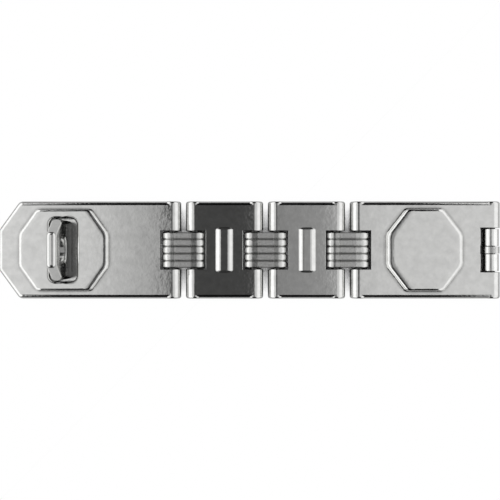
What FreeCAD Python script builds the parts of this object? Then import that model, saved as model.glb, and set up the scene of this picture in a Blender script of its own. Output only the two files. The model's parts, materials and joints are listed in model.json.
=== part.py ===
import FreeCAD, Part
import math
import os

# Hinge pin hasp with concealed pins and laminated links, all sizes in millimetres.
# The origin is on the mounting surface below the middle of the closed hasp.
# +X runs along the hasp to its fixed end, +Y runs across it and +Z points away from the door.

# Places along the hasp
hasp_plate_reach = 79.2
cover_plate_reach = 64.9
link_pin_pitch = 10.4
link_plate_pin_pitch = 27.35
joint_count = 3

# Pressed plates
plate_width = 44.5
sheet_thickness = 2.0
bend_outer_radius = 2.2
barrel_radius = 4.1
barrel_rim_radius = 1.0
barrel_slit_angle = 24.0
barrel_slit_start_angle = 140.0

# Concealed pins
pin_running_clearance = 0.05
pin_end_clearance = 0.1
pin_chamfer = 0.4

# Link laminations
lamination_count = 5
lamination_thickness = 3.2
lamination_gap = 0.1
lamination_chamfer = 0.5
link_below_barrel = 0.15
link_flat_past_pin = 0.5
link_end_arc_radius = 5.5
link_end_past_pin = 4.45
link_corner_radius = 0.8
window_side_clearance = 0.7
window_end_clearance = 0.75

# Bead on each link plate
bead_width = 8.6
bead_top_width = 2.9
bead_length = 20.5
bead_height = 0.9
bead_foot_radius = 2.2
bead_end_slope = 0.9
bead_corner_radius = 4.0

# Free end of the hasp plate
end_chamfer_x = 9.6
end_chamfer_y = 13.2
end_corner_radius = 3.0

# Raised boss of the hasp plate
hasp_boss_end_margin = 9.65
hasp_boss_side_margin = 3.55
hasp_boss_length = 41.3
hasp_boss_side_flat = 25.3
hasp_boss_end_flat = 15.0
hasp_boss_height = 2.5
hasp_boss_end_run = 2.6
hasp_boss_side_run = 1.55

# Raised boss of the cover plate
cover_boss_window_margin = 6.2
cover_boss_knuckle_margin = 7.9
cover_boss_side_margin = 3.25
cover_boss_side_flat = 17.8
cover_boss_end_flat = 14.8
cover_boss_height = 3.5
cover_boss_end_run = 3.7
cover_boss_side_run = 1.85

# Walls of both bosses: shares of the run and of the height from the foot to the flat top
boss_wall_profile = [(0.04, 0.12), (0.1, 0.42), (0.18, 0.68), (0.29, 0.84),
                     (0.42, 0.918), (0.56, 0.958), (0.7, 0.98), (0.85, 0.993)]
boss_side_corner_radius = 2.6
boss_end_corner_radius = 5.0
boss_hollow_inset = 1.9
boss_hollow_lean = 0.6

# Staple, and the slot that drops over it
staple_from_boss_centre = 0.1
staple_thickness = 4.5
staple_height = 33.5
staple_chamfer_width = 6.25
staple_chamfer_height = 10.0
staple_edge_radius = 1.9
staple_eye_edge_radius = 1.1
staple_eye_diameter = 12.5
staple_eye_below_top = 14.5
staple_shoulder = 3.4
slot_end_margin = 2.75
slot_free_side_clearance = 3.95
slot_hinge_side_clearance = 3.75
slot_end_clearance = 1.0
slot_corner_radius = 3.0
slot_rim_radius = 1.2

# Screwed plate of the staple
staple_plate_thickness = 3.0
staple_plate_clearance = 0.35
staple_screw_from_end = 11.4
staple_screw_from_side = 9.9
staple_plate_end_margin = 7.0
staple_screw_hole_diameter = 5.2
staple_screw_head_lift = 0.8

# Fixing leaf and its hinge
leaf_thickness = 1.6
leaf_end_clearance = 2.6
leaf_side_clearance = 3.25
leaf_corner_radius = 3.0
leaf_neck_length = 8.5
leaf_joggle_length = 3.0
leaf_joggle_end = 3.0
leaf_first_screw_inset = 8.0
leaf_last_screw_inset = 10.5
leaf_screw_from_side = 7.0
leaf_screw_hole_diameter = 4.8
leaf_screw_head_lift = 0.1
roll_start_angle = -90.0
roll_end_angle = 180.0
knuckle_length = 7.7
ring_width = 3.2
ring_below_barrel = 0.1
ring_side_clearance = 0.3
end_window_side_clearance = 0.6
end_window_end_clearance = 2.2

# Sizes worked out from those above
overall_length = hasp_plate_reach + cover_plate_reach
overall_length += joint_count * link_pin_pitch + (joint_count - 1) * link_plate_pin_pitch
plate_height = 2 * barrel_radius
pin_axis_z = barrel_radius
half_width = plate_width / 2
inner_half_width = half_width - sheet_thickness
roof_z = plate_height - sheet_thickness
bore_radius = barrel_radius - sheet_thickness
pin_radius = bore_radius - pin_running_clearance
pin_length = 2 * (inner_half_width - pin_end_clearance)
link_half_height = barrel_radius - link_below_barrel
lamination_pitch = lamination_thickness + lamination_gap
stack_width = lamination_count * lamination_thickness + (lamination_count - 1) * lamination_gap
window_half_width = stack_width / 2 + window_side_clearance
window_inner_reach = link_end_past_pin + window_end_clearance
knuckle_radius = bore_radius + leaf_thickness
knuckle_inner_y = ring_width / 2 + ring_side_clearance
knuckle_outer_y = knuckle_inner_y + knuckle_length
end_window_half_width = knuckle_outer_y + end_window_side_clearance
end_window_inner_reach = knuckle_radius + end_window_end_clearance
free_end_x = -overall_length / 2
fixed_end_x = overall_length / 2
end_pin_x = fixed_end_x - barrel_radius
hasp_boss_x = free_end_x + hasp_boss_end_margin + hasp_boss_length / 2
hasp_boss_width = plate_width - 2 * hasp_boss_side_margin
cover_boss_start_x = fixed_end_x - cover_plate_reach + window_inner_reach
cover_boss_start_x += cover_boss_window_margin
cover_boss_end_x = end_pin_x - end_window_inner_reach - cover_boss_knuckle_margin
cover_boss_x = (cover_boss_start_x + cover_boss_end_x) / 2
cover_boss_length = cover_boss_end_x - cover_boss_start_x
cover_boss_width = plate_width - 2 * cover_boss_side_margin
staple_x = hasp_boss_x + staple_from_boss_centre
staple_back_x = staple_x - staple_thickness / 2
staple_front_x = staple_x + staple_thickness / 2
slot_length = hasp_boss_width - 2 * hasp_boss_side_run - 2 * slot_end_margin
staple_width = slot_length - 2 * slot_end_clearance
staple_top_width = staple_width - 2 * staple_chamfer_width
staple_eye_z = staple_height - staple_eye_below_top
staple_tenon_width = staple_width - 2 * staple_shoulder
staple_screw_reach_x = staple_x - free_end_x - staple_screw_from_end
staple_screw_y = inner_half_width - staple_plate_clearance - staple_screw_from_side
staple_screw_head_diameter = staple_screw_hole_diameter
staple_screw_head_diameter += 2 * (staple_plate_thickness - staple_screw_head_lift)
leaf_start_x = fixed_end_x - cover_plate_reach + window_inner_reach + leaf_end_clearance
leaf_neck_x = end_pin_x - leaf_neck_length
leaf_width = 2 * (inner_half_width - leaf_side_clearance)
leaf_screw_y = leaf_width / 2 - leaf_screw_from_side
leaf_screw_head_diameter = leaf_screw_hole_diameter
leaf_screw_head_diameter += 2 * (leaf_thickness - leaf_screw_head_lift)

# How far a cutting tool runs past what it cuts, how deep a blended foot starts under the
# sheet's surface, and the slack when edges are picked out
past = 1.0
foot_depth = 0.03
tiny = 1e-6

os.makedirs("parts", exist_ok=True)


def vec(x, y, z):
    return FreeCAD.Vector(x, y, z)


def block(x0, x1, y0, y1, z0, z1):
    return Part.makeBox(x1 - x0, y1 - y0, z1 - z0, vec(x0, y0, z0))


def cross_cylinder(x, z, radius, half_length):
    """Cylinder along Y, centred across the hasp."""
    return Part.makeCylinder(radius, 2 * half_length, vec(x, -half_length, z), vec(0, 1, 0))


def outline_wire(points, z):
    corners = [vec(x, y, z) for x, y in points]
    return Part.makePolygon(corners + corners[:1])


def octagon(centre_x, length, width, chamfer_x, chamfer_y):
    """Corners of a rectangle with four equal chamfers, in order round it."""
    a = length / 2
    b = width / 2
    quarter = [(a, b - chamfer_y), (a - chamfer_x, b)]
    half = quarter + [(-x, y) for x, y in reversed(quarter)]
    whole = half + [(-x, -y) for x, y in half]
    return [(centre_x + x, y) for x, y in whole]


def edges_where(shape, test):
    """Edges whose two ends and middle all pass the test."""
    chosen = []
    for edge in shape.Edges:
        first, last = edge.ParameterRange
        places = [edge.valueAt(first), edge.valueAt((first + last) / 2), edge.valueAt(last)]
        if all(test(place) for place in places):
            chosen.append(edge)
    return chosen


def at_level(z):
    return lambda place: abs(place.z - z) < tiny


def joined_arcs(arcs):
    """Closed outline of arcs, each given by three points, with a line from each to the next."""
    edges = []
    for index, arc in enumerate(arcs):
        edges.append(Part.Arc(*arc).toShape())
        edges.append(Part.makeLine(arc[2], arcs[(index + 1) % len(arcs)][0]))
    return Part.Wire(edges)


def rounded_wire(points, radii, z):
    """Closed outline with an arc of its own radius at each corner."""
    arcs = []
    befores = points[-1:] + points[:-1]
    afters = points[1:] + points[:1]
    for before, corner, after, radius in zip(befores, points, afters, radii):
        here = vec(corner[0], corner[1], z)
        back = (vec(before[0], before[1], z) - here).normalize()
        ahead = (vec(after[0], after[1], z) - here).normalize()
        half = back.getAngle(ahead) / 2
        middle = here + (back + ahead).normalize() * (radius / math.sin(half) - radius)
        run = radius / math.tan(half)
        arcs.append((here + back * run, middle, here + ahead * run))
    return joined_arcs(arcs)


def frustum(base, top, z_base, z_top):
    return Part.makeLoft([outline_wire(base, z_base), outline_wire(top, z_top)], True, True)


# Pin places, from the fixed end to the free end
def joint_pin_places():
    """One pair for each joint: its pin nearer the fixed end, then its other pin."""
    places = []
    x = fixed_end_x - cover_plate_reach
    for _ in range(joint_count):
        places.append((x, x - link_pin_pitch))
        x -= link_pin_pitch + link_plate_pin_pitch
    return places


# Pressed plates
def rounded_barrel(x):
    """Solid roll across the whole plate, with softened rims."""
    roll = cross_cylinder(x, pin_axis_z, barrel_radius, half_width)
    rims = edges_where(roll, lambda place: abs(abs(place.y) - half_width) < tiny)
    return roll.makeFillet(barrel_rim_radius, rims)


def tray_body(outline, barrels):
    """Outside of a plate: its bent-down edges with the rolls at its hinged ends."""
    body = Part.Face(outline_wire(outline, 0)).extrude(vec(0, 0, plate_height))

    def off_barrels(edge):
        middle = edge.valueAt(sum(edge.ParameterRange) / 2)
        return all(abs(middle.x - x) > tiny for x in barrels)

    uprights = [edge for edge in body.Edges
                if edge.tangentAt(edge.FirstParameter).cross(vec(0, 0, 1)).Length < tiny]
    uprights = [edge for edge in uprights if off_barrels(edge)]
    if uprights:
        body = body.makeFillet(end_corner_radius, uprights)
    rim = [edge for edge in edges_where(body, at_level(plate_height)) if off_barrels(edge)]
    body = body.makeFillet(bend_outer_radius, rim)
    for x in barrels:
        body = body.fuse(rounded_barrel(x))
    return body.removeSplitter()


def tray_hollow(outline, barrels):
    """Space under the sheet, between its flanges and its rolled barrels."""
    face = Part.Face(outline_wire(outline, -past))
    hollow = face.makeOffset2D(-sheet_thickness).extrude(vec(0, 0, past + roof_z))
    for x in barrels:
        side = 1 if x > sum(p[0] for p in outline) / len(outline) else -1
        edge_x = x - side * sheet_thickness
        extra = block(min(edge_x, x), max(edge_x, x), -inner_half_width, inner_half_width,
                      -past, roof_z)
        hollow = hollow.fuse(extra)
    for x in barrels:
        hollow = hollow.cut(cross_cylinder(x, pin_axis_z, barrel_radius, half_width))
    return hollow


def barrel_cuts(x, side):
    """Pin bore of a rolled barrel and the slit where the sheet's end stops."""
    cuts = [cross_cylinder(x, pin_axis_z, bore_radius, inner_half_width)]
    reach = barrel_radius + past
    start = math.radians(barrel_slit_start_angle)
    stop = math.radians(barrel_slit_start_angle + barrel_slit_angle)
    corners = [vec(x, -inner_half_width, pin_axis_z)]
    for angle in (start, stop):
        corners.append(vec(x + side * reach * math.cos(angle), -inner_half_width,
                           pin_axis_z + reach * math.sin(angle)))
    wedge = Part.Face(Part.makePolygon(corners + corners[:1]))
    slit = wedge.extrude(vec(0, 2 * inner_half_width, 0))
    roof = block(x - 2 * reach, x + 2 * reach, -half_width, half_width, roof_z, plate_height + past)
    cuts.append(slit.cut(roof))
    return cuts


def window(x, side, inner_reach, half_opening):
    """Opening through a barrel for what turns on its pin; side points out of the plate."""
    inner = x - side * inner_reach
    outer = x + side * (barrel_radius + past)
    return block(min(inner, outer), max(inner, outer), -half_opening, half_opening,
                 -past, plate_height + past)


def raised_boss(centre_x, length, width, flats, height, runs):
    """Solid that lifts the sheet with curved walls, and the hollow that it leaves beneath."""
    chamfers = ((length - flats[0]) / 2, (width - flats[1]) / 2)

    def level(inset_x, inset_y):
        return octagon(centre_x, length - 2 * inset_x, width - 2 * inset_y, *chamfers)

    radii = [boss_end_corner_radius, boss_side_corner_radius]
    radii += radii[::-1]
    sections = []
    for run, rise in [(0, 0)] + boss_wall_profile + [(1, 1)]:
        z = plate_height - foot_depth + (height + foot_depth) * rise
        outline = level(run * runs[0], run * runs[1])
        sections.append(rounded_wire(outline, radii * 2, z))
    outside = Part.makeLoft(sections, True, False)
    inner_base = level(boss_hollow_inset, boss_hollow_inset)
    inner_top = level(boss_hollow_inset + boss_hollow_lean, boss_hollow_inset + boss_hollow_lean)
    inside = frustum(inner_base, inner_top, roof_z - past / 2, roof_z + height)
    return outside, inside


def bead(middle_x):
    """Solid that lifts a narrow flat-topped bead across the plate, and the groove beneath."""
    half = bead_width / 2
    run = half - bead_top_width / 2
    rise = bead_height + foot_depth
    slope = 2 * math.atan2(rise, run)
    shoulder_radius = run / math.sin(slope) - bead_foot_radius
    foot_z = plate_height - foot_depth
    crown_z = plate_height + bead_height

    def on_foot(side, angle):
        return vec(middle_x + side * (half - bead_foot_radius * math.sin(angle)), 0,
                   foot_z + bead_foot_radius * (1 - math.cos(angle)))

    def on_shoulder(side, angle):
        return vec(middle_x + side * (bead_top_width / 2 + shoulder_radius * math.sin(angle)), 0,
                   crown_z - shoulder_radius * (1 - math.cos(angle)))

    left = [on_foot(-1, 0), on_foot(-1, slope / 2), on_foot(-1, slope),
            on_shoulder(-1, slope / 2), on_shoulder(-1, 0)]
    right = [on_shoulder(1, 0), on_shoulder(1, slope / 2), on_foot(1, slope),
             on_foot(1, slope / 2), on_foot(1, 0)]
    edges = [Part.Arc(*left[:3]).toShape(), Part.Arc(*left[2:]).toShape(),
             Part.makeLine(left[-1], right[0]),
             Part.Arc(*right[:3]).toShape(), Part.Arc(*right[2:]).toShape()]
    below = [vec(place.x, 0, foot_z - past / 2) for place in (right[-1], left[0])]
    edges += Part.makePolygon([right[-1]] + below + [left[0]]).Edges
    section = Part.Face(Part.Wire(edges))
    section.translate(vec(0, -bead_length / 2, 0))
    raised = section.extrude(vec(0, bead_length, 0))
    reach = half + bead_end_slope
    ends = block(middle_x - reach, middle_x + reach, -bead_length / 2, bead_length / 2,
                 roof_z, crown_z + foot_depth)
    uprights = [edge for edge in ends.Edges
                if abs(edge.Vertexes[0].Z - edge.Vertexes[-1].Z) > sheet_thickness]
    ends = ends.makeFillet(bead_corner_radius, uprights)
    ends = ends.makeChamfer(bead_end_slope, edges_where(ends, at_level(crown_z + foot_depth)))
    groove_half = half - sheet_thickness
    groove_top = [(middle_x - bead_top_width / 2, crown_z - sheet_thickness),
                  (middle_x + bead_top_width / 2, crown_z - sheet_thickness)]
    groove_foot = [(middle_x + groove_half, roof_z - past / 2),
                   (middle_x - groove_half, roof_z - past / 2)]
    corners = [vec(x, sheet_thickness / 2 - bead_length / 2, z) for x, z in groove_top + groove_foot]
    groove = Part.Face(Part.makePolygon(corners + corners[:1]))
    return raised.common(ends), groove.extrude(vec(0, bead_length - sheet_thickness, 0))


def link_plate(first_x, second_x):
    """Plate with a rolled barrel at each end and a raised bead across its middle."""
    outline = [(first_x, -half_width), (second_x, -half_width),
               (second_x, half_width), (first_x, half_width)]
    plate = tray_body(outline, (first_x, second_x))
    raised, groove = bead((first_x + second_x) / 2)
    plate = plate.fuse(raised)
    plate = plate.cut(tray_hollow(outline, (first_x, second_x)))
    plate = plate.cut(groove)
    for x, side in ((first_x, -1), (second_x, 1)):
        for cut in barrel_cuts(x, side):
            plate = plate.cut(cut)
        plate = plate.cut(window(x, side, window_inner_reach, window_half_width))
    return plate.removeSplitter()


def hasp_plate(pin_x):
    """Free plate that drops over the staple."""
    chamfer_x = free_end_x + end_chamfer_x
    chamfer_y = half_width - end_chamfer_y
    upper = [(pin_x, half_width), (chamfer_x, half_width), (free_end_x, chamfer_y)]
    outline = upper + [(x, -y) for x, y in reversed(upper)]
    plate = tray_body(outline, (pin_x,))
    outside, inside = raised_boss(hasp_boss_x, hasp_boss_length, hasp_boss_width,
                                  (hasp_boss_side_flat, hasp_boss_end_flat), hasp_boss_height,
                                  (hasp_boss_end_run, hasp_boss_side_run))
    plate = plate.fuse(outside)
    plate = plate.cut(tray_hollow(outline, (pin_x,)))
    plate = plate.cut(inside)
    slot_start_x = staple_back_x - slot_free_side_clearance
    slot_end_x = staple_front_x + slot_hinge_side_clearance
    slot = block(slot_start_x, slot_end_x, -slot_length / 2, slot_length / 2,
                 0, 2 * plate_height)
    corners = []
    for edge in slot.Edges:
        if abs(edge.Vertexes[0].Z - edge.Vertexes[-1].Z) > past:
            corners.append(edge)
    plate = plate.cut(slot.makeFillet(slot_corner_radius, corners))
    boss_top = plate_height + hasp_boss_height

    def on_slot_rim(place):
        inside_x = slot_start_x - tiny < place.x < slot_end_x + tiny
        return abs(place.z - boss_top) < tiny and inside_x and abs(place.y) < slot_length / 2 + tiny

    plate = plate.makeFillet(slot_rim_radius, edges_where(plate, on_slot_rim))
    for cut in barrel_cuts(pin_x, 1):
        plate = plate.cut(cut)
    plate = plate.cut(window(pin_x, 1, window_inner_reach, window_half_width))
    return plate.removeSplitter()


def cover_plate(pin_x):
    """Plate over the fixing screws, hinged to the leaf at its outer end."""
    outline = [(pin_x, -half_width), (end_pin_x, -half_width),
               (end_pin_x, half_width), (pin_x, half_width)]
    plate = tray_body(outline, (pin_x, end_pin_x))
    outside, inside = raised_boss(cover_boss_x, cover_boss_length, cover_boss_width,
                                  (cover_boss_side_flat, cover_boss_end_flat),
                                  cover_boss_height, (cover_boss_end_run, cover_boss_side_run))
    plate = plate.fuse(outside)
    plate = plate.cut(tray_hollow(outline, (pin_x, end_pin_x)))
    plate = plate.cut(inside)
    for x, side in ((pin_x, -1), (end_pin_x, 1)):
        for cut in barrel_cuts(x, side):
            plate = plate.cut(cut)
    plate = plate.cut(window(pin_x, -1, window_inner_reach, window_half_width))
    plate = plate.cut(window(end_pin_x, 1, end_window_inner_reach, end_window_half_width))
    return plate.removeSplitter()


# Pins and links
def pin(x):
    rod = cross_cylinder(x, pin_axis_z, pin_radius, pin_length / 2)
    rims = edges_where(rod, lambda place: abs(abs(place.y) - pin_length / 2) < tiny)
    return rod.makeChamfer(pin_chamfer, rims)


def lamination(first_x, second_x, middle_y):
    """Flat link with domed ends, a bore for each pin and chamfered edges."""
    low_y = middle_y - lamination_thickness / 2
    turn = math.asin((link_end_past_pin - link_flat_past_pin) / link_end_arc_radius)

    def on_dome(x, side, up, angle):
        reach = link_flat_past_pin + link_end_arc_radius * math.sin(angle)
        height = link_half_height - link_end_arc_radius * (1 - math.cos(angle))
        return vec(x + side * reach, low_y, pin_axis_z + up * height)

    arcs = []
    for x, side, up in ((first_x, 1, 1), (first_x, 1, -1), (second_x, -1, -1), (second_x, -1, 1)):
        outwards = [on_dome(x, side, up, share * turn) for share in (0, 0.5, 1)]
        arcs.append(outwards if side == up else outwards[::-1])
    body = Part.Face(joined_arcs(arcs)).extrude(vec(0, lamination_thickness, 0))
    tips = (first_x + link_end_past_pin, second_x - link_end_past_pin)
    corners = edges_where(body, lambda place: min(abs(place.x - x) for x in tips) < tiny)
    corners = [edge for edge in corners if abs(edge.Length - lamination_thickness) < tiny
               and edge.Vertexes[0].Z == edge.Vertexes[-1].Z]
    body = body.makeFillet(link_corner_radius, corners)
    rims = edges_where(body, lambda place: abs(abs(place.y - middle_y)
                                               - lamination_thickness / 2) < tiny)
    body = body.makeChamfer(lamination_chamfer, rims)
    for x in (first_x, second_x):
        body = body.cut(Part.makeCylinder(bore_radius, lamination_thickness,
                                          vec(x, low_y, pin_axis_z), vec(0, 1, 0)))
    return body


# Staple
def countersunk_hole(x, y, thickness, hole_diameter, head_diameter):
    """Screw hole whose 90 degree head seat opens upwards."""
    hole = Part.makeCylinder(hole_diameter / 2, thickness + 2 * past, vec(x, y, -past))
    depth = (head_diameter - hole_diameter) / 2
    seat = Part.makeCone(hole_diameter / 2, head_diameter / 2 + past, depth + past,
                         vec(x, y, thickness - depth))
    return hole.fuse(seat)


def staple_plate():
    """Screwed base that nests inside the free end of the hasp plate."""
    chamfer_x = free_end_x + end_chamfer_x
    end_x = staple_x + staple_screw_reach_x + staple_plate_end_margin
    upper = [(end_x + sheet_thickness + staple_plate_clearance, half_width),
             (chamfer_x, half_width), (free_end_x, half_width - end_chamfer_y)]
    outline = upper + [(x, -y) for x, y in reversed(upper)]
    face = Part.Face(outline_wire(outline, 0))
    face = face.makeOffset2D(-sheet_thickness - staple_plate_clearance)
    plate = face.extrude(vec(0, 0, staple_plate_thickness))
    for x_side in (-1, 1):
        for y_side in (-1, 1):
            plate = plate.cut(countersunk_hole(staple_x + x_side * staple_screw_reach_x,
                                               y_side * staple_screw_y,
                                               staple_plate_thickness,
                                               staple_screw_hole_diameter,
                                               staple_screw_head_diameter))
    tenon = block(staple_back_x, staple_front_x, -staple_tenon_width / 2, staple_tenon_width / 2,
                  -past, staple_plate_thickness + past)
    return plate.cut(tenon)


def staple():
    """Solid eye with chamfered shoulders, riveted into its plate by a tenon."""
    shoulder_z = staple_height - staple_chamfer_height
    upper = [(staple_width / 2, staple_plate_thickness), (staple_width / 2, shoulder_z),
             (staple_top_width / 2, staple_height)]
    profile = upper + [(-y, z) for y, z in reversed(upper)]
    corners = [vec(staple_back_x, y, z) for y, z in profile]
    face = Part.Face(Part.makePolygon(corners + corners[:1]))
    body = face.extrude(vec(staple_thickness, 0, 0))
    rims = []
    for edge in body.Edges:
        ends = [vertex.Z for vertex in edge.Vertexes]
        if max(ends) > staple_plate_thickness + tiny:
            rims.append(edge)
    body = body.makeFillet(staple_edge_radius, rims)
    body = body.fuse(block(staple_back_x, staple_front_x, -staple_tenon_width / 2,
                           staple_tenon_width / 2, 0, staple_plate_thickness + past))
    eye = Part.makeCylinder(staple_eye_diameter / 2, staple_thickness + 2 * past,
                            vec(staple_back_x - past, 0, staple_eye_z), vec(1, 0, 0))
    body = body.cut(eye)

    def on_eye(place):
        radius = math.hypot(place.y, place.z - staple_eye_z)
        return abs(radius - staple_eye_diameter / 2) < tiny

    rims = [edge for edge in edges_where(body, on_eye) if edge.Length > staple_eye_diameter]
    return body.makeFillet(staple_eye_edge_radius, rims).removeSplitter()


# Hinge at the fixed end
def roll_point(radius, degrees):
    """Point on the knuckles' near side, at an angle from +X round the end pin."""
    angle = math.radians(degrees)
    return vec(end_pin_x + radius * math.cos(angle), -knuckle_outer_y,
               pin_axis_z + radius * math.sin(angle))


def roll_arc(radius):
    """Three quarters of a turn, from under the pin round to the free end of the roll."""
    halfway = (roll_start_angle + roll_end_angle) / 2
    angles = (roll_start_angle, halfway, roll_end_angle)
    return Part.Arc(*[roll_point(radius, degrees) for degrees in angles]).toShape()


def fixing_leaf():
    """Screwed leaf whose neck rolls up into two knuckles on the end pin."""
    flat = block(leaf_start_x, leaf_neck_x, -leaf_width / 2, leaf_width / 2, 0, leaf_thickness)
    corners = [edge for edge in flat.Edges
               if abs(edge.Vertexes[0].Z - edge.Vertexes[-1].Z) > leaf_thickness / 2]
    flat = flat.makeFillet(leaf_corner_radius, corners)
    rise = pin_axis_z - knuckle_radius
    root_x = leaf_neck_x - leaf_corner_radius
    joggle_end_x = end_pin_x - leaf_joggle_end
    joggle_x = joggle_end_x - leaf_joggle_length
    lower = [(root_x, 0), (joggle_x, 0), (joggle_end_x, rise), (end_pin_x, rise)]
    upper = [(x, z + leaf_thickness) for x, z in reversed(lower)]
    side = [Part.makePolygon([vec(x, -knuckle_outer_y, z) for x, z in lower]),
            roll_arc(knuckle_radius),
            Part.makeLine(roll_point(knuckle_radius, roll_end_angle),
                          roll_point(bore_radius, roll_end_angle)),
            roll_arc(bore_radius),
            Part.makePolygon([vec(x, -knuckle_outer_y, z) for x, z in upper + lower[:1]])]
    edges = [edge for part in side for edge in part.Edges]
    profile = Part.Face(Part.Wire(Part.__sortEdges__(edges)))
    body = flat.fuse(profile.extrude(vec(0, 2 * knuckle_outer_y, 0)))
    reach = knuckle_radius + knuckle_inner_y
    ring_room = block(end_pin_x - reach, end_pin_x + knuckle_radius + past,
                      -knuckle_inner_y, knuckle_inner_y, -past, plate_height)
    body = body.cut(ring_room)
    for x in (leaf_start_x + leaf_first_screw_inset, leaf_neck_x - leaf_last_screw_inset):
        for y in (-leaf_screw_y, leaf_screw_y):
            body = body.cut(countersunk_hole(x, y, leaf_thickness, leaf_screw_hole_diameter,
                                             leaf_screw_head_diameter))
    return body.removeSplitter()


def hinge_ring():
    radius = barrel_radius - ring_below_barrel
    ring = cross_cylinder(end_pin_x, pin_axis_z, radius, ring_width / 2)
    return ring.cut(cross_cylinder(end_pin_x, pin_axis_z, bore_radius, ring_width / 2 + past))


def build():
    """Every piece of the hasp by name."""
    pieces = {}
    joints = joint_pin_places()
    pieces["cover_plate"] = cover_plate(joints[0][0])
    pieces["hasp_plate"] = hasp_plate(joints[-1][1])
    for number in range(1, joint_count):
        upper = joints[joint_count - number - 1][1]
        lower = joints[joint_count - number][0]
        pieces["link_plate_%d" % number] = link_plate(lower, upper)
    for index, places in enumerate(joints):
        number = joint_count - index
        pieces["joint_pin_%d_right" % number] = pin(places[0])
        pieces["joint_pin_%d_left" % number] = pin(places[1])
        for place in range(lamination_count):
            middle_y = (place - (lamination_count - 1) / 2) * lamination_pitch
            name = "link_%d_lamination_%d" % (number, place + 1)
            pieces[name] = lamination(places[0], places[1], middle_y)
    pieces["staple_plate"] = staple_plate()
    pieces["staple"] = staple()
    pieces["fixing_leaf"] = fixing_leaf()
    pieces["hinge_ring"] = hinge_ring()
    pieces["end_hinge_pin"] = pin(end_pin_x)
    return pieces


for name, shape in build().items():
    solids = shape.Solids
    print(name, len(solids), shape.isValid(), round(shape.Volume, 1))
    shape.exportStep("parts/%s.step" % name)
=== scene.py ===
import json

import bpy
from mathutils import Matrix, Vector


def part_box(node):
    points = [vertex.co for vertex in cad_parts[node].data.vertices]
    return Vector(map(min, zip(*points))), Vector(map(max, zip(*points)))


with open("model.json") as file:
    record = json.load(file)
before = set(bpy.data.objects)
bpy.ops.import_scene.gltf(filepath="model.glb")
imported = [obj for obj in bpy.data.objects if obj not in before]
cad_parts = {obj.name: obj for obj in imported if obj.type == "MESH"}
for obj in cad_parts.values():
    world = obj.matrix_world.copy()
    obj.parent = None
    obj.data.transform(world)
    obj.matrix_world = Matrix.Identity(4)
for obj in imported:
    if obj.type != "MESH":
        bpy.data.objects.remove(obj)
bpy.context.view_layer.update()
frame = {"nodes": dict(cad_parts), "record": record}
nodes = frame["nodes"]
mm = 0.001

# Camera, straight above the middle of the hasp
camera_height = 368 * mm
plate_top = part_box("link_3_lamination_3")[1].z
view_width = 228.1 * mm
sensor_width = 36.0
camera_data = bpy.data.cameras.new("camera")
camera_data.sensor_width = sensor_width
camera_data.lens = sensor_width * (camera_height - plate_top) / view_width
camera_data.clip_start = 10 * mm
camera = bpy.data.objects.new("camera", camera_data)
camera.location = (0, 0, camera_height)
bpy.context.scene.collection.objects.link(camera)
bpy.context.scene.camera = camera


# Node helpers
def add(tree, kind, **values):
    """A node of that kind, with its properties and input sockets set by name."""
    node = tree.nodes.new(kind)
    for name, value in values.items():
        if hasattr(node, name):
            setattr(node, name, value)
        else:
            node.inputs[name.replace("_", " ")].default_value = value
    return node


def place_of(tree, source="Object"):
    return add(tree, "ShaderNodeTexCoord").outputs[source]


def axes_of(tree, source="Object"):
    """The X, Y and Z sockets of a place."""
    split = add(tree, "ShaderNodeSeparateXYZ")
    tree.links.new(place_of(tree, source), split.inputs[0])
    return split.outputs


def noise(tree, place, scale, detail=4.0, roughness=0.55):
    texture = add(tree, "ShaderNodeTexNoise", Scale=scale, Detail=detail, Roughness=roughness)
    tree.links.new(place, texture.inputs["Vector"])
    return texture.outputs["Fac"]


def spread(tree, value, low, high, from_low=0.3, from_high=0.7):
    """The value stretched to low and high, from the range that noise mostly has or a given one."""
    span = add(tree, "ShaderNodeMapRange")
    span.inputs["From Min"].default_value = from_low
    span.inputs["From Max"].default_value = from_high
    span.inputs["To Min"].default_value = low
    span.inputs["To Max"].default_value = high
    tree.links.new(value, span.inputs["Value"])
    return span.outputs["Result"]


def maths(tree, operation, first, second=None):
    node = add(tree, "ShaderNodeMath", operation=operation)
    for value, socket in zip((first, second), node.inputs):
        if isinstance(value, (int, float)):
            socket.default_value = value
        elif value is not None:
            tree.links.new(value, socket)
    return node.outputs[0]


def bump(tree, height, depth, normal):
    """That normal with the bumps of a height which runs from 0 to depth."""
    node = add(tree, "ShaderNodeBump", Strength=1.0, Distance=depth)
    tree.links.new(height, node.inputs["Height"])
    tree.links.new(normal, node.inputs["Normal"])
    return node.outputs["Normal"]


def mixed(tree, share, first, second):
    """From the first to the second, each a colour or a socket that gives one."""
    mix = add(tree, "ShaderNodeMixRGB", blend_type="MIX")
    tree.links.new(share, mix.inputs[0])
    for colour, socket in zip((first, second), mix.inputs[1:]):
        if isinstance(colour, tuple):
            socket.default_value = colour
        else:
            tree.links.new(colour, socket)
    return mix.outputs[0]


def multiplied(tree, colour, shade):
    product = add(tree, "ShaderNodeMixRGB", blend_type="MULTIPLY")
    product.inputs[0].default_value = 1.0
    tree.links.new(colour, product.inputs[1])
    tree.links.new(shade, product.inputs[2])
    return product.outputs[0]


def ramp_of(tree, share, stops):
    """Grey that runs through the stops, each a position from 0 to 1 and a tone."""
    ramp = add(tree, "ShaderNodeValToRGB")
    elements = ramp.color_ramp.elements
    for element, (position, tone) in zip(elements, (stops[0], stops[-1])):
        element.position = position
        element.color = (tone, tone, tone, 1)
    for position, tone in stops[1:-1]:
        elements.new(position).color = (tone, tone, tone, 1)
    tree.links.new(share, ramp.inputs["Fac"])
    return ramp.outputs["Color"]


# Zinc plated steel, with the scales of its noise in patterns per metre
patch_scale = 260
ripple_scale = 620
wave_scale = 70
grain_scale = 2400
steel_blue = 0.985
edge_radius = 0.35 * mm
edge_samples = 4
corner_shade_samples = 8

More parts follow.
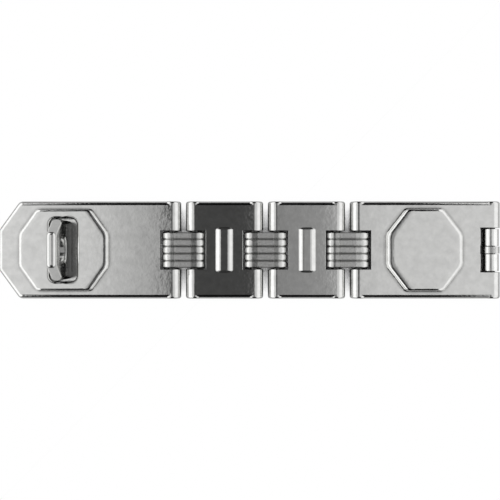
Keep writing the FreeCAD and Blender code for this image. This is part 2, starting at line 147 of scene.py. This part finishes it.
# Dull middle of a lamination, which ends between these shares of its length from the centre
dull_ends = (0.17, 0.21)
dull_tones = (0.4, 0.72)
dull_roughness = 0.2
grain_depth = 0.03 * mm

# Shade painted on the staple's foot, which stands in the slot: full below the first height and
# gone above the second
foot_shade = 0.04
foot_shade_top = 11.5 * mm
foot_shade_end = 14.5 * mm

# Painted shade in the corners, darkening the colour where little is open around: how far it
# reaches, and its stops
faint_corner_shade = (2.5 * mm, [(0.3, 0.1), (0.5, 0.35), (0.85, 1.0)])
link_corner_shade = (1.2 * mm, [(0.3, 0.1), (0.7, 1.0)])
slot_corner_shade = (6.0 * mm, [(0.2, 0.1), (0.4, 1.0)])


def steel_grey(tone):
    return (tone, tone, tone * steel_blue, 1)


def with_dull_middle(tree, place, colour, rough, normal):
    """Colour, roughness and normal of a lamination, darker and grainy in its middle."""
    along = axes_of(tree, "Generated")["X"]
    off_centre = maths(tree, "ABSOLUTE", maths(tree, "SUBTRACT", along, 0.5))
    dull = spread(tree, off_centre, 1, 0, *dull_ends)
    grain = noise(tree, place, grain_scale, detail=5.0)
    darkest, lightest = dull_tones
    dark = mixed(tree, spread(tree, grain, 0, 1), steel_grey(darkest), steel_grey(lightest))
    colour = mixed(tree, dull, colour, dark)
    rough = maths(tree, "ADD", rough, maths(tree, "MULTIPLY", dull, dull_roughness))
    normal = bump(tree, maths(tree, "MULTIPLY", dull, grain), grain_depth, normal)
    return colour, rough, normal


def plated_steel(name, tones, gloss, ripple, wave, corner_shade, dull_middle=False, shaded_foot=False):
    """Steel between two tones and two roughnesses, with ripples and waves of given depths, and
    painted shade in its corners.
    """
    material = bpy.data.materials.new(name)
    material.use_nodes = True
    tree = material.node_tree
    shader = tree.nodes["Principled BSDF"]
    shader.inputs["Metallic"].default_value = 1.0
    place = place_of(tree)
    patches = noise(tree, place, patch_scale, detail=6.0)
    ripples = noise(tree, place, ripple_scale, detail=2.0)
    waves = noise(tree, place, wave_scale, detail=1.0)
    darkest, lightest = tones
    colour = mixed(tree, spread(tree, patches, 0, 1), steel_grey(darkest), steel_grey(lightest))
    rough = spread(tree, ripples, *gloss)
    soft_edges = add(tree, "ShaderNodeBevel", Radius=edge_radius, samples=edge_samples)
    normal = bump(tree, waves, wave, soft_edges.outputs["Normal"])
    normal = bump(tree, ripples, ripple, normal)
    if dull_middle:
        colour, rough, normal = with_dull_middle(tree, place, colour, rough, normal)
    # Painted shade: the colour is darkened in corners and hollows, by how little is open around
    # them
    reach, stops = corner_shade
    corners = add(tree, "ShaderNodeAmbientOcclusion", Distance=reach, samples=corner_shade_samples)
    colour = multiplied(tree, colour, ramp_of(tree, corners.outputs["AO"], stops))
    if shaded_foot:
        clear = spread(tree, axes_of(tree)["Z"], foot_shade, 1, foot_shade_top, foot_shade_end)
        colour = multiplied(tree, colour, clear)
    tree.links.new(colour, shader.inputs["Base Color"])
    tree.links.new(rough, shader.inputs["Roughness"])
    tree.links.new(normal, shader.inputs["Normal"])
    return material


slot_materials = {
    "plate_steel": plated_steel("plate_steel", tones=(0.7, 0.82), gloss=(0.05, 0.09),
                                ripple=0.025 * mm, wave=0.06 * mm, corner_shade=faint_corner_shade),
    "link_steel": plated_steel("link_steel", tones=(0.68, 0.78), gloss=(0.14, 0.22),
                               ripple=0.02 * mm, wave=0.05 * mm, corner_shade=link_corner_shade,
                               dull_middle=True),
    "pin_steel": plated_steel("pin_steel", tones=(0.5, 0.6), gloss=(0.2, 0.3),
                              ripple=0.01 * mm, wave=0.02 * mm, corner_shade=faint_corner_shade),
    "staple_steel": plated_steel("staple_steel", tones=(0.68, 0.76), gloss=(0.1, 0.16),
                                 ripple=0.02 * mm, wave=0.05 * mm, corner_shade=faint_corner_shade,
                                 shaded_foot=True),
    "base_steel": plated_steel("base_steel", tones=(0.84, 0.94), gloss=(0.12, 0.2),
                               ripple=0.02 * mm, wave=0.05 * mm, corner_shade=slot_corner_shade),
}
for part in frame["record"]["subparts"]:
    node = nodes[part["node"]]
    node.data.materials.clear()
    node.data.materials.append(slot_materials[part["material_slot"]])


# Floor and soft studio light
def level_sheet(name, centre, size, facing_down=False):
    """Rectangle on the level, and the mesh that it shows."""
    width, depth = size
    corners = [(-1, -1), (1, -1), (1, 1), (-1, 1)]
    order = (3, 2, 1, 0) if facing_down else (0, 1, 2, 3)
    mesh = bpy.data.meshes.new(name)
    mesh.from_pydata([(x * width / 2, y * depth / 2, 0) for x, y in corners], [], [order])
    sheet = bpy.data.objects.new(name, mesh)
    sheet.location = centre
    bpy.context.scene.collection.objects.link(sheet)
    return sheet, mesh


def glowing(name, strength=1.0):
    """Emitting material, its node tree and the socket of its colour."""
    material = bpy.data.materials.new(name)
    material.use_nodes = True
    tree = material.node_tree
    tree.nodes.clear()
    glow = add(tree, "ShaderNodeEmission", Strength=strength)
    output = add(tree, "ShaderNodeOutputMaterial")
    tree.links.new(glow.outputs[0], output.inputs["Surface"])
    return material, tree, glow.inputs["Color"]


def by_ray(tree, mirrored, seen):
    """What the metal mirrors differs from what the camera sees."""
    rays = add(tree, "ShaderNodeLightPath")
    return mixed(tree, rays.outputs["Is Camera Ray"], mirrored, seen)


def card(name, centre, size, strength, stops=None):
    """Level emitting panel facing down. Its stops are places along X from its centre, and tones."""
    panel, mesh = level_sheet(name, centre, size, facing_down=True)
    material, tree, colour = glowing(name, strength)
    if stops:
        width = size[0]
        share = spread(tree, axes_of(tree)["X"], 0, 1, -width / 2, width / 2)
        stops = [(0.5 + place / width, tone) for place, tone in stops]
        tree.links.new(ramp_of(tree, share, stops), colour)
    mesh.materials.append(material)
    panel.visible_camera = False
    panel.visible_shadow = False
    return panel


# Softbox beyond each end of the hasp, tilted towards it
softbox_size = (3.2, 1.2)
softbox_reach = 0.85
softbox_side = 0.3
softbox_height = 0.55
softbox_aim_height = 0.01
for name, end, strength in (("left_softbox", -1, 1.35), ("right_softbox", 1, 1.1)):
    centre = Vector((end * softbox_reach, softbox_side, softbox_height))
    aim = Vector((0, softbox_side, softbox_aim_height))
    softbox = card(name, centre, softbox_size, strength)
    softbox.rotation_mode = "QUATERNION"
    softbox.rotation_quaternion = (aim - centre).to_track_quat("-Z", "Y")

# Graded card above the hasp, darkest where link_plate_1 mirrors it to the camera
sky_height = 0.62
sky_size = (1.0, 0.48)
sky_stops = [(-0.5, 0.85), (-0.3, 0.8), (-0.2, 0.73), (-0.165, 0.6), (-0.14, 0.52),
             (-0.108, 0.42), (-0.088, 0.065), (0.004, 0.065), (0.024, 0.27), (0.095, 0.34),
             (0.122, 0.6), (0.17, 0.7), (0.3, 0.74), (0.5, 0.8)]
card("sky_card", (0, 0, sky_height), sky_size, 1.0, sky_stops)

# Floor, glowing: pale to the camera, with painted shade only in the slits. The metal mirrors it as
# mid grey, with painted shade close to the hasp, and nearly black far out to both sides
floor_width = 6.0
floor_drop = 0.05 * mm
slit_reach = 20 * mm
slit_samples = 16
slit_shade_stops = [(0.0, 0.0), (0.14, 0.02), (0.22, 0.92), (0.32, 0.97), (0.7, 1.0)]
near_tone = 0.55
far_tone = 0.05
fade_start = 80 * mm
fade_end = 160 * mm
floor, floor_mesh = level_sheet("floor", (0, 0, -floor_drop), (floor_width, floor_width))
floor_material, tree, floor_colour = glowing("floor")
floor_occlusion = add(tree, "ShaderNodeAmbientOcclusion", Distance=slit_reach, samples=slit_samples)
openness = floor_occlusion.outputs["AO"]
aside = maths(tree, "ABSOLUTE", axes_of(tree)["Y"])
faded = spread(tree, aside, near_tone, far_tone, fade_start, fade_end)
pale = ramp_of(tree, openness, slit_shade_stops)
# Painted shade: the floor darkens where little is open around it, to the camera in the slits and in
# the metal's mirror near the hasp
tree.links.new(by_ray(tree, multiplied(tree, faded, openness), pale), floor_colour)
floor_mesh.materials.append(floor_material)

# World: pale to the camera. The metal mirrors it as mid grey up to about 40 degrees above the
# horizon, and as nearly black above that and on the sides towards +Y and -Y, which end between
# these ratios of X to Y
horizon_stops = [(0.0, 0.38), (0.62, 0.38), (0.72, 0.03), (1.0, 0.03)]
side_shade = 0.05
side_ends = (0.3, 0.5)
backdrop = (0.95, 0.95, 0.95, 1)
world = bpy.data.worlds.new("studio")
world.use_nodes = True
bpy.context.scene.world = world
tree = world.node_tree
direction = axes_of(tree, "Generated")
lengthwise = maths(tree, "ABSOLUTE", direction["X"])
crosswise = maths(tree, "ABSOLUTE", direction["Y"])
slant = maths(tree, "DIVIDE", lengthwise, crosswise)
horizon = multiplied(tree, ramp_of(tree, direction["Z"], horizon_stops),
                     spread(tree, slant, side_shade, 1, *side_ends))
tree.links.new(by_ray(tree, horizon, backdrop), tree.nodes["Background"].inputs["Color"])

bpy.context.scene.view_settings.view_transform = "Standard"
